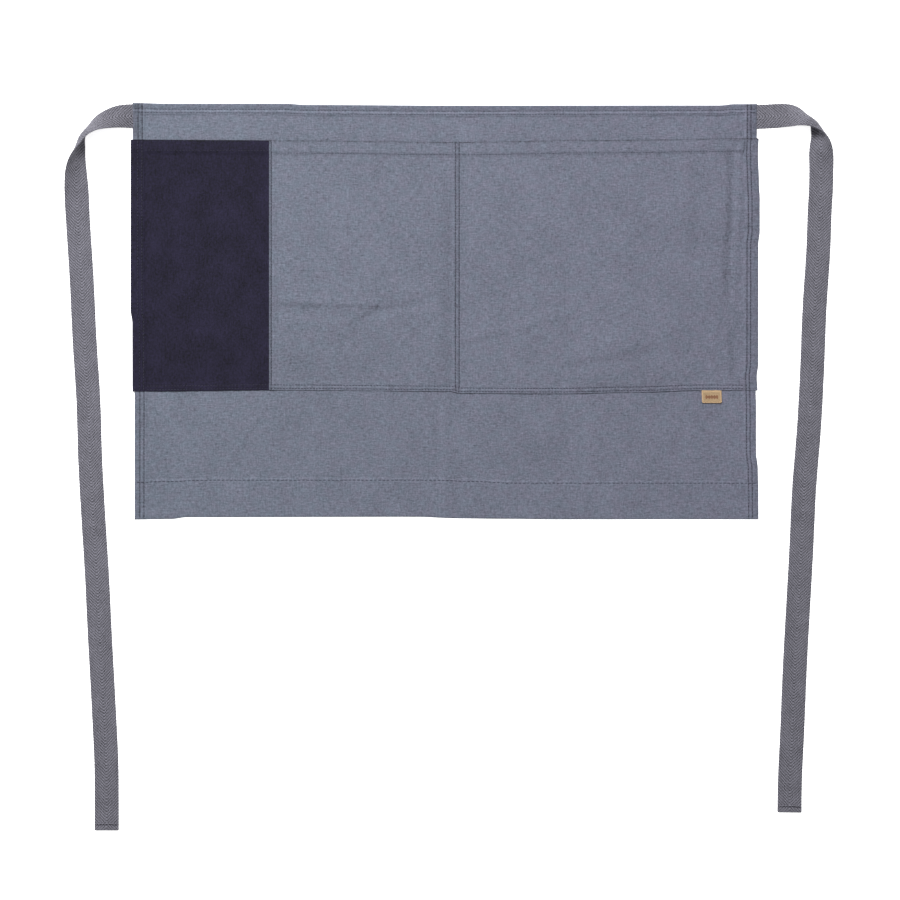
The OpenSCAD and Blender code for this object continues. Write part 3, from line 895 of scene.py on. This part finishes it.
def pocket_wear_and_shade(x, y):
    """Paler worn sides; painted shadow under the mouth and along the lower fold; painted shade in the rows
    and creases with painted highlight beside the rows and on crease ridges; a darker lap, division and
    right side.
    """
    # Painted shade in the rows of stitches, with painted highlight beside them
    rows = [(y - row, ROW_DARK["pocket_bottom"]) for row in BOTTOM_ROWS]
    rows = rows + [(x - row, ROW_DARK["side"]) for row in LEFT_ROWS + RIGHT_ROWS]
    rows = rows + [(x - row, ROW_DARK["seam"]) for row in (LAP_ROW,) + DIVIDE_ROWS]
    sides = np.minimum(x - WRAP_LEFT_X, WRAP_RIGHT_X - x)
    pale = 0.4 * bell(sides, 1.5 * MM)
    # Painted shadow under the folded mouth of the pocket
    mouth_shadow = 1.4 * bell(MOUTH_Y - y, 1.5 * MM)
    # Painted shadow along the pocket's folded bottom edge
    fold = 0.35 * bell(y - POCKET_LOW_Y, 1.0 * MM)
    lap = 0.45 * smooth((LAP_ROW + 1.2 * MM - x) / (0.8 * MM)) * (x >= LAP_X)
    strip = 0.35 * np.exp(-((x - sum(DIVIDE_ROWS) / 2) / (3.2 * MM)) ** 4)
    strip = strip + 0.25 * smooth((x - RIGHT_ROWS[1] + 3 * MM) / (2 * MM))
    # Painted shade and painted highlight along the creases
    crease_shading = sum(ridge(x, y, *crease) for crease in POCKET_CREASE_SHADING) / MM
    return row_shade(rows) + pale + crease_shading - mouth_shadow - fold - lap - strip


def seam_strip(name, colour, xs, ys, lapped, folded=(), sides=()):
    """A sewn strip of pocket cloth. It lies on the skirt, its folded edges are half rounds between its
    top and its bottom, and its sides turn down to the floor as quarter rounds."""
    xs = flush(xs, "left" not in folded + sides, "right" not in folded + sides)
    ys = flush(ys, "low" not in folded, "high" not in folded)
    x, y = np.meshgrid(xs, ys)
    top = pocket_level(x, y, lapped)
    bottom = np.maximum(np.minimum(top - 2 * CLOTH, FRONT_LOW), CLOTH + AIR)
    if sides:
        edge = (x - WRAP_LEFT_X) if "left" in sides else (WRAP_RIGHT_X - x)
        bottom = turned_down(edge - CLOTH, HEM_TOP + AIR, 0.0, WRAP_TOP - CLOTH)
        bottom = np.where(edge > CLOTH, bottom, 0.0)
        top = np.maximum(turned_down(edge, top, 0.0, WRAP_TOP), THIN)
    places = {"low": y - ys[0], "high": ys[-1] - y, "left": x - xs[0], "right": xs[-1] - x}
    for place in folded:
        middle = (top + bottom) / 2
        round_off = np.maximum(quarter(places[place], POCKET_FOLD), 0.05)
        top = middle + (top - middle) * round_off
        bottom = middle + (bottom - middle) * round_off
    return slab(name, x, y, top, bottom, finish(colour),
                pocket_wear_and_shade(x, y), False)


def pocket_seams():
    """The sewn edges of the pockets: wrapped sides, folded bottoms, the lap and the division."""
    fold = POCKET_FOLD
    low_ys = merged(round_lines(POCKET_LOW_Y, 1, fold), lines(POCKET_LOW_Y + fold, 0.6 * MM, FLAP_Y))
    side_ys = merged(round_lines(POCKET_LOW_Y, 1, fold), round_lines(MOUTH_Y, -1, fold),
                     lines(POCKET_LOW_Y + fold, 0.6 * MM, FLAP_Y, 2 * MM, TURN_TOP_Y - 3 * MM,
                           0.6 * MM, MOUTH_Y - fold))
    high_ys = merged(round_lines(MOUTH_Y, -1, fold),
                     lines(FLAP_Y, 1.0 * MM, TURN_TOP_Y - 3 * MM, 0.6 * MM, MOUTH_Y - fold))
    left_xs = merged(round_lines(WRAP_LEFT_X, 1, WRAP_TOP, 6),
                     lines(WRAP_LEFT_X + WRAP_TOP, 0.6 * MM, IN_LEFT_X))
    right_xs = merged(round_lines(WRAP_RIGHT_X, -1, WRAP_TOP, 6),
                      lines(IN_RIGHT_X, 0.6 * MM, WRAP_RIGHT_X - WRAP_TOP))
    lap_xs = merged(round_lines(LAP_X, 1, fold), lines(LAP_X + fold, 0.5 * MM, LAP_IN_X))
    low_lap_xs = merged(round_lines(LAP_X, 1, fold),
                        lines(LAP_X + fold, 0.6 * MM, LAP_IN_X, 1.6 * MM, IN_RIGHT_X))
    return {
        "denim_pocket_side_seam": seam_strip(
            "denim_side_wrap", "denim", left_xs, side_ys, False, ("low", "high"), ("left",)),
        "chambray_pocket_side_seam": seam_strip(
            "chambray_side_wrap", "chambray", right_xs, side_ys, False, ("low", "high"), ("right",)),
        "denim_pocket_bottom_seam": seam_strip(
            "denim_bottom_fold", "denim", lines(IN_LEFT_X, 1.6 * MM, LAP_X), low_ys, False, ("low",)),
        "chambray_pocket_bottom_seam": seam_strip(
            "chambray_bottom_fold", "chambray", low_lap_xs, low_ys, True, ("low", "left")),
        "pocket_lap_seam": seam_strip(
            "lap_fold", "chambray", lap_xs, high_ys, True, ("left", "high")),
        "pocket_division_seam": seam_strip(
            "division_strip", "chambray", lines(DIVIDE_X, 0.5 * MM, DIVIDE_IN_X), high_ys, True,
            ("high",)),
    }


def front_half(pocket, half, x0, x1, colour):
    """Half of a pocket front in one layer, from the bottom seam to the folded mouth, which turns down."""
    radius = MOUTH_TOP - FRONT_LOW
    xs = flush(lines(x0, 1.8 * MM, x1))
    ys = merged(round_lines(MOUTH_Y, -1, radius), [FLAP_Y + 0.06 * MM],
                lines(FLAP_Y, 1.9 * MM, TURN_TOP_Y - 3 * MM, 0.6 * MM, MOUTH_Y - radius))
    x, y = np.meshgrid(xs, ys)
    level = pocket_level(x, y, colour == "chambray")
    swell = level - np.where(y > TURN_TOP_Y, MOUTH_TOP, FRONT_TOP)
    base = FRONT_LOW + np.maximum(swell, 0) * 0.5
    edge = MOUTH_Y - y
    top = turned_down(edge, level, base, radius)
    bottom = np.where(edge > CLOTH, turned_down(edge - CLOTH, level - CLOTH, base, radius - CLOTH), base)
    top = np.maximum(top, bottom + THIN)
    return slab(f"{pocket}_pocket_front_{half}", x, y, top, bottom, finish(colour),
                pocket_wear_and_shade(x, y))


def mouth_half(pocket, half, x0, x1, colour):
    """Half of the turned layers behind a pocket's mouth."""
    xs = lines(x0, 3 * MM, x1)
    ys = lines(TURN_TOP_Y + 0.2 * MM, 1.2 * MM, MOUTH_Y - CLOTH * 1.1)
    x, y = np.meshgrid(xs, ys)
    level = pocket_level(x, y, colour == "chambray")
    top = level - CLOTH - THIN - 0.25 * MM * smooth((y - MOUTH_Y + 2 * MM) / (1.5 * MM))
    bottom = np.minimum(top - 0.4 * MM, FRONT_LOW + 0.03 * MM)
    return slab(f"{pocket}_mouth_turn_{half}", x, y, top, bottom, finish(colour))


def pocket(name, colour):
    """A pocket front in two halves, each from a side seam to the middle of the pocket, with the turned
    layers behind its mouth and the row of stitches there."""
    sizes = bpy.context.scene.apron_sizes
    x0, x1 = POCKET_SPANS[name]
    middle = (x0 + x1) / 2
    halves = {"left": (x0, middle, x0), "right": (middle, x1, x1)}
    for half, (a, b, seam) in halves.items():
        front = front_half(name, half, a, b, colour)
        turn = mouth_half(name, half, a, b, colour)
        row_y = MOUTH_ROWS[colour]
        row = stitches(f"{name}_mouth_stitches_{half}", [((a, row_y), (b, row_y))],
                       lambda x, y: pocket_level(x, y, colour == "chambray"), sizes.stitch,
                       sizes.thread_width * MOUTH_THREAD, finish("thread"))
        for piece in (front, turn, row):
            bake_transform(piece)
        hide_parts(f"{name}_pocket_front")
        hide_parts(f"{name}_mouth_hem")
        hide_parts(f"{name}_mouth_stitching")


# ---------------------------------------------------------------- ties

def on_route(route, u):
    """The smooth curve through the route's points: between two of them it is the cubic
    b + f/2 * (c - a + f * (2a - 5b + 4c - d + f * (3(b - c) + d - a)))."""
    last = len(route) - 1
    i = np.clip(np.floor(u).astype(int), 0, last - 1)
    f = (u - i)[:, None]
    a, b = route[np.clip(i - 1, 0, last)], route[i]
    c, d = route[i + 1], route[np.clip(i + 2, 0, last)]
    return b + 0.5 * f * (c - a + f * (2 * a - 5 * b + 4 * c - d + f * (3 * (b - c) + d - a)))


def tie_rings(route):
    """Places along a tie every ring step: u on the route, length from the root, middle, heading."""
    fine = np.linspace(0, len(route) - 1, 6000)
    place = on_route(route, fine)
    length = np.concatenate([[0], np.cumsum(np.linalg.norm(np.diff(place, axis=0), axis=1))])
    even = np.linspace(0, length[-1], int(length[-1] / TAPE_RING))
    u = np.interp(even, length, fine)
    step = 0.02
    last = len(route) - 1
    heading = on_route(route, np.minimum(u + step, last)) - on_route(route, np.maximum(u - step, 0))
    heading = heading / np.linalg.norm(heading, axis=1, keepdims=True)
    return u, even, on_route(route, u), heading


def tie_turn(route, u, place, side):
    """How far the tape has turned over, from 0 to pi: on edge at its crossing, easing out with the
    distance d from there as 1 - (1 - d / reach)^power."""
    d = np.linalg.norm(place - route[CROSSING], axis=1)
    before, after = (1 - (1 - np.clip(d / far, 0, 1)) ** power
                     for far, power in (STUB_TWIST[side], TAIL_TWIST[side]))
    return np.where(u < CROSSING, math.pi / 2 * (1 - before), math.pi / 2 * (1 + after))


def tape_rise(side, u, length, turn, bow):
    """Height of the tape's middle: as much as the turned tape needs, (width * |sin| + thickness * |cos|)
    / 2, higher where it leaves the middle of the hem, and a little lifted where the tail lies loose."""
    chord = TAPE_WIDTH * np.sin(bow) / bow
    rise = (chord * np.abs(np.sin(turn)) + TAPE_THICK * np.abs(np.cos(turn))) / 2
    rooted = 1 - smooth((u - 1) / (STUB_START - 1))
    root_low, root_high = reach(f"{side}_tie_root", 2)
    rise = rise + rooted * ((root_low + root_high) / 2 - TAPE_THICK / 2)
    tail = smooth((u - CROSSING - 2) / 2) * smooth((length[-1] - length) / (30 * MM))
    lift = waves(length, length * 0, LIFT_SEED[side], 120 * MM, 0.5 * MM)
    return rise + np.maximum(lift, 0) * tail


def tie_tape(side, route):
    """Both pieces of a tie, the line it follows and the length of its free piece. A ring is a flat oval
    across the tape. Near the crossing it is bent to an arc of radius width / bow that bulges outward."""
    u, length, place, heading = tie_rings(route)
    turn = tie_turn(route, u, place, side)
    normal = np.stack([-heading[:, 1], heading[:, 0], heading[:, 0] * 0], -1) * HAND[side]
    flat_heading = np.concatenate([heading, heading[:, :1] * 0], 1)
    up = np.array([0, 0, 1.0])
    across = np.cos(turn)[:, None] * normal + np.sin(turn)[:, None] * up
    through = np.cross(flat_heading, across)
    from_crossing = np.linalg.norm(place - route[CROSSING], axis=1)
    bow = np.maximum(BOW[side] * bell(from_crossing, BOW_REACH), FLATTEST_BOW)
    middle = np.concatenate([place, tape_rise(side, u, length, turn, bow)[:, None]], 1)
    scallop = 0.008 * np.sin(2 * math.pi * length / TAPE_REPEAT)
    width = TAPE_WIDTH / 2 * (1.025 + scallop + 0.004 * waves(length, length * 0, 73, 9 * MM, 1.0))
    v = np.concatenate([TAPE_ACROSS, TAPE_ACROSS[::-1]])
    h = np.concatenate([TAPE_HALF, -TAPE_HALF[::-1]]) * TAPE_THICK / 2
    arc = bow[:, None] * v
    radius = (width / bow)[:, None]
    spread = radius * np.sin(arc) + HAND[side] * h * np.sin(arc)
    bulge = radius * (np.cos(arc) - 0.45 * np.cos(bow)[:, None] - 0.55)
    offset = HAND[side] * bulge + h * np.cos(arc)
    rings = middle[:, None] + across[:, None] * spread[..., None] + through[:, None] * offset[..., None]
    rings[..., 2] += np.maximum(0, -rings[..., 2].min(axis=1))[:, None]
    rest = np.stack([length[:, None] + v * 0, (width[:, None] * v)], -1)
    first = int(np.searchsorted(u, STUB_START))
    tape = finish("tape")
    wear_and_shade = -ROOT_SHADE[side] * (1 - smooth((length - 20 * MM) / (60 * MM)))[:, None] + v * 0
    root = tube(f"{side}_tie_root_tape", rings[:first + 1], rest[:first + 1], tape,
                wear_and_shade[:first + 1])
    run = tube(f"{side}_tie_tape", rings[first:], rest[first:], tape, wear_and_shade[first:])
    return root, run, middle[first:], length[-1] - length[first]


def outward(thing):
    """Turns the faces outward if the mesh's volume, the sum of a . (b x c) over its triangles, is
    below 0."""
    mesh = thing.data
    mesh.calc_loop_triangles()
    place = np.empty(len(mesh.vertices) * 3)
    mesh.vertices.foreach_get("co", place)
    place = place.reshape(-1, 3)
    corner = np.empty(len(mesh.loop_triangles) * 3, np.int32)
    mesh.loop_triangles.foreach_get("vertices", corner)
    a, b, c = (place[corner.reshape(-1, 3)[:, k]] for k in range(3))
    if np.einsum("ij,ij->i", a, np.cross(b, c)).sum() < 0:
        mesh.flip_normals()
    return thing


def end_turn(side, route):
    """The free end of a tie, turned up over the tape: a flap whose top rises as a quarter round over the
    tip, sinks by a bell along its row, and whose sides round off. Gives its directions too."""
    tip = route[-1]
    back = route[-2] - route[-1]
    back = back / np.linalg.norm(back)
    right = np.array([back[1], -back[0]])
    half = TAPE_WIDTH / 2
    v = np.sin(np.linspace(-1, 1, 27) * math.pi / 2)
    d = merged(round_lines(0, 1, END_ROUND, 6), lines(END_ROUND, 0.5 * MM, END_FOLD))
    grid_v, grid_d = np.meshgrid(v, d)
    soft = 1 - 0.10 * np.maximum(0, 1 - grid_d / (1.6 * MM)) ** 2 * np.abs(grid_v) ** 6
    spread = grid_v * half * 1.012 * soft
    depth = grid_d - 0.5 * MM + 0.25 * MM * np.cos(grid_v * 3.2) * smooth((grid_d - 3 * MM) / (3 * MM))
    x = tip[0] + right[0] * spread + back[0] * depth
    y = tip[1] + right[1] * spread + back[1] * depth
    brim = np.maximum(quarter(1 - np.abs(grid_v), 0.05), 0.08)
    crest = 2.05 * MM + 0.1 * MM * np.sin(grid_v * 9)
    from_row = grid_d - END_FOLD + END_ROW
    dent = 0.45 * MM * bell(from_row, 0.6 * MM)
    # Painted shade along the row of stitches, and paler cloth at the flap's inner edge
    wear_and_shade = 0.5 * bell(from_row - END_ROW, 0.5 * MM) - bell(from_row, 0.7 * MM)
    top = crest * quarter(grid_d, END_ROUND) * (0.72 + 0.28 * brim) - dent * (grid_d > 2 * MM)
    bottom = (TAPE_THICK + AIR) * smooth((grid_d - END_ROUND) / (0.8 * MM))
    top = np.maximum(top, bottom + 0.06 * MM)
    points, faces, _ = closed_sheet(x, y, top, bottom)
    rest = np.tile(np.stack([grid_d - TAPE_REPEAT, spread], -1).reshape(-1, 2), (2, 1))
    wear_and_shade_per_point = np.tile(wear_and_shade.ravel(), 2)
    flap = outward(put(f"{side}_tie_end_turn", points, faces, rest, finish("tape"), wear_and_shade_per_point))
    return flap, tip, right, back


def tie(side, route):
    """A tie: root, tape, turned end and its row of stitches; the end and its row are attached to the
    tail's body.
    """
    sizes = bpy.context.scene.apron_sizes
    root, run, path, length = tie_tape(side, route)
    outward(root)
    outward(run)
    flap, tip, right, back = end_turn(side, route)
    row_middle = tip + back * (END_FOLD - END_ROW - 0.5 * MM)
    half = TAPE_WIDTH / 2 - 1.5 * MM
    row = stitches(f"{side}_tie_end_stitches", [(row_middle - right * half, row_middle + right * half)],
                   lambda x, y: x * 0 + 1.66 * MM, sizes.stitch, sizes.thread_width, finish("thread"))
    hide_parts(f"{side}_tie_root")
    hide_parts(f"{side}_tie_stub", f"{side}_tie_tail")
    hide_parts(f"{side}_tie_end_stitching")
    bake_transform(root)
    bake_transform(run)
    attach(flap, f"{side}_tie_tail")
    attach(row, f"{side}_tie_tail")


# ---------------------------------------------------------------- label

def label_loop():
    """The label: a woven tape folded in a loop, rounded at its fold, a little bowed off the skirt."""
    low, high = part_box("label_tab")
    low = np.array(low)
    high = np.array(high)
    corner = 2.2 * MM
    tuck = 1.0 * MM
    s = np.sin(np.linspace(-1, 1, 41) * math.pi / 2)
    ys = merged(round_lines(low[1], 1, 0.9 * MM, 6), lines(low[1] + 0.9 * MM, 0.4 * MM, high[1] + tuck))
    grid_s, grid_y = np.meshgrid(s, ys)
    from_end = np.clip((grid_y - low[1]) / corner, 0, 1)
    half = (high[0] - low[0]) / 2 - 1.6 * MM * (1 - quarter(from_end, 1.0))
    x = (low[0] + high[0]) / 2 + grid_s * half
    bow = 0.5 * MM * smooth((high[1] - grid_y) / (high[1] - low[1])) * (1 + 0.4 * np.sin(grid_s * 2))
    top = high[2] + bow + 0.1 * MM
    bottom = low[2] + bow * 0.6
    middle = (top + bottom) / 2
    round_off = np.maximum(quarter(grid_y - low[1], 0.8 * MM), 0.06)
    round_off = round_off * np.maximum(quarter(1 - np.abs(grid_s), 0.05), 0.3)
    top = middle + (top - middle) * round_off
    bottom = middle + (bottom - middle) * round_off
    return slab("label_loop", x, grid_y, top, bottom, finish("label"), None, False)


# ---------------------------------------------------------------- operators

class APRON_OT_studio(bpy.types.Operator):
    """Make the camera straight above the apron, the pale floor and the soft light"""
    bl_idname = "apron.studio"
    bl_label = "Studio"

    def execute(self, context):
        studio = context.scene.apron_studio
        eye = bpy.data.cameras.new("camera")
        eye.lens = CAMERA_LENS
        eye.sensor_width = SENSOR
        camera = bpy.data.objects.new("camera", eye)
        camera.location = CAMERA_PLACE
        context.scene.collection.objects.link(camera)
        context.scene.camera = camera
        board = np.linspace(-FLOOR_HALF, FLOOR_HALF, 13)
        x, y = np.meshgrid(board, board)
        points = np.stack([x, y, x * 0 + FLOOR_LEVEL], -1)
        faces = grid_faces(np.arange(x.size).reshape(x.shape))
        mesh = bpy.data.meshes.new("floor")
        mesh.from_pydata(points.reshape(-1, 3).tolist(), [], faces.tolist())
        mesh.materials.append(finish("floor"))
        floor = bpy.data.objects.new("floor", mesh)
        context.scene.collection.objects.link(floor)
        world = bpy.data.worlds.new("room")
        world.use_nodes = True
        room = world.node_tree.nodes["Background"]
        room.inputs["Color"].default_value = (1.0, 1.0, 1.0, 1.0)
        room.inputs["Strength"].default_value = studio.sky
        context.scene.world = world
        soft = bpy.data.lights.new("soft_lamp", "AREA")
        soft.shape = "RECTANGLE"
        soft.size, soft.size_y = LAMP_SIZE
        soft.energy = studio.lamp
        lamp = bpy.data.objects.new("soft_lamp", soft)
        lamp.location = LAMP_PLACE
        lamp.rotation_euler = [math.radians(angle) for angle in LAMP_TURN]
        context.scene.collection.objects.link(lamp)
        context.scene.view_settings.view_transform = "Standard"
        return {"FINISHED"}


class APRON_OT_ties(bpy.types.Operator):
    """Make both herringbone ties, from the corners to their stitched ends"""
    bl_idname = "apron.ties"
    bl_label = "Ties"

    def execute(self, context):
        tie("left", LEFT_ROUTE)
        tie("right", RIGHT_ROUTE)
        return {"FINISHED"}


class APRON_OT_skirt(bpy.types.Operator):
    """Make the skirt cloth, its turned hems and their rows of stitches"""
    bl_idname = "apron.skirt"
    bl_label = "Skirt"

    def execute(self, context):
        sizes = context.scene.apron_sizes
        cloth = skirt_cloth()
        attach(cloth, "apron")
        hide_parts("skirt_panel")
        hems = skirt_hems()
        for node, piece in hems.items():
            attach(piece, "apron")
            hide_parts(node)
        back = 2 * MM

        def level(x, y):
            under = skirt_level(x, y)
            over = pocket_level(x, y, True)
            return np.where((y > POCKET_LOW_Y) & (y < MOUTH_Y), over, under)

        rows = {
            "waist_hem": ([((LEFT_X + back, y), (RIGHT_X - back, y)) for y in WAIST_ROWS],
                          sizes.stitch),
            "left_side": ([((x, LOW_Y + back), (x, TOP_Y - back)) for x in LEFT_ROWS], sizes.stitch),
            "right_side": ([((x, LOW_Y + back), (x, TOP_Y - back)) for x in RIGHT_ROWS],
                           sizes.stitch),
            "bottom_hem": ([((LEFT_X + back, HEM_ROW), (RIGHT_X - back, HEM_ROW))],
                           sizes.hem_stitch),
        }
        for name, (runs, pitch) in rows.items():
            width = sizes.thread_width * (WAIST_THREAD if name == "waist_hem" else 1)
            row = stitches(f"{name}_stitches", runs, level, pitch, width, finish("thread"))
            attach(row, "apron")
            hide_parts(f"{name}_stitching")
        return {"FINISHED"}


class APRON_OT_pocket_seams(bpy.types.Operator):
    """Make the sewn edges of the pockets and their rows of stitches"""
    bl_idname = "apron.pocket_seams"
    bl_label = "Pocket seams"

    def execute(self, context):
        sizes = context.scene.apron_sizes
        for node, piece in pocket_seams().items():
            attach(piece, "apron")
            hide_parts(node)
        low, high = FLAP_Y, MOUTH_Y - 1.5 * MM
        rows = {
            "pocket_bottom": [((IN_LEFT_X, y), (IN_RIGHT_X, y)) for y in BOTTOM_ROWS],
            "pocket_lap": [((LAP_ROW, low), (LAP_ROW, high))],
            "pocket_division": [((x, low), (x, high)) for x in DIVIDE_ROWS],
        }

        def level(x, y):
            return np.where(x < LAP_X, pocket_level(x, y, False), pocket_level(x, y, True))

        for name, runs in rows.items():
            row = stitches(f"{name}_stitches", runs, level, sizes.stitch, sizes.thread_width,
                           finish("thread"))
            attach(row, "apron")
            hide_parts(f"{name}_stitching")
        return {"FINISHED"}


class APRON_OT_pockets(bpy.types.Operator):
    """Make the three pocket fronts, with the turned layers and stitches of their mouths"""
    bl_idname = "apron.pockets"
    bl_label = "Pockets"

    def execute(self, context):
        pocket("denim", "denim")
        pocket("middle", "chambray")
        pocket("right", "chambray")
        return {"FINISHED"}


class APRON_OT_label(bpy.types.Operator):
    """Make the woven label below the pocket seam"""
    bl_idname = "apron.label"
    bl_label = "Label"

    def execute(self, context):
        tab = label_loop()
        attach(tab, "label")
        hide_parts("label_tab")
        return {"FINISHED"}


class APRON_PT_panel(bpy.types.Panel):
    """Lists the steps that make the apron"""
    bl_idname = "APRON_PT_panel"
    bl_label = "Waist apron"
    bl_space_type = "VIEW_3D"
    bl_region_type = "UI"
    bl_category = "Apron"

    def draw(self, context):
        for operator in OPERATORS:
            self.layout.operator(operator.bl_idname)
        for group in ("apron_sizes", "apron_colours", "apron_studio"):
            box = self.layout.box()
            settings = getattr(context.scene, group)
            for key in settings.__annotations__:
                box.prop(settings, key)


OPERATORS = (APRON_OT_studio, APRON_OT_ties, APRON_OT_skirt, APRON_OT_pocket_seams,
             APRON_OT_pockets, APRON_OT_label)
GROUPS = {"apron_sizes": ApronSizes, "apron_colours": ApronColours, "apron_studio": ApronStudio}
CLASSES = (*GROUPS.values(), *OPERATORS, APRON_PT_panel)


def register():
    """Registers the classes and hangs the settings on the scene."""
    for each in CLASSES:
        bpy.utils.register_class(each)
    for name, group in GROUPS.items():
        setattr(bpy.types.Scene, name, PointerProperty(type=group))


def unregister():
    """Takes the settings and the classes away."""
    for name in GROUPS:
        delattr(bpy.types.Scene, name)
    for each in reversed(CLASSES):
        bpy.utils.unregister_class(each)


def main():
    """Makes the apron."""
    register()
    bpy.ops.apron.studio()
    bpy.ops.apron.ties()
    bpy.ops.apron.skirt()
    bpy.ops.apron.pocket_seams()
    bpy.ops.apron.pockets()
    bpy.ops.apron.label()


if __name__ == "__main__":
    main()
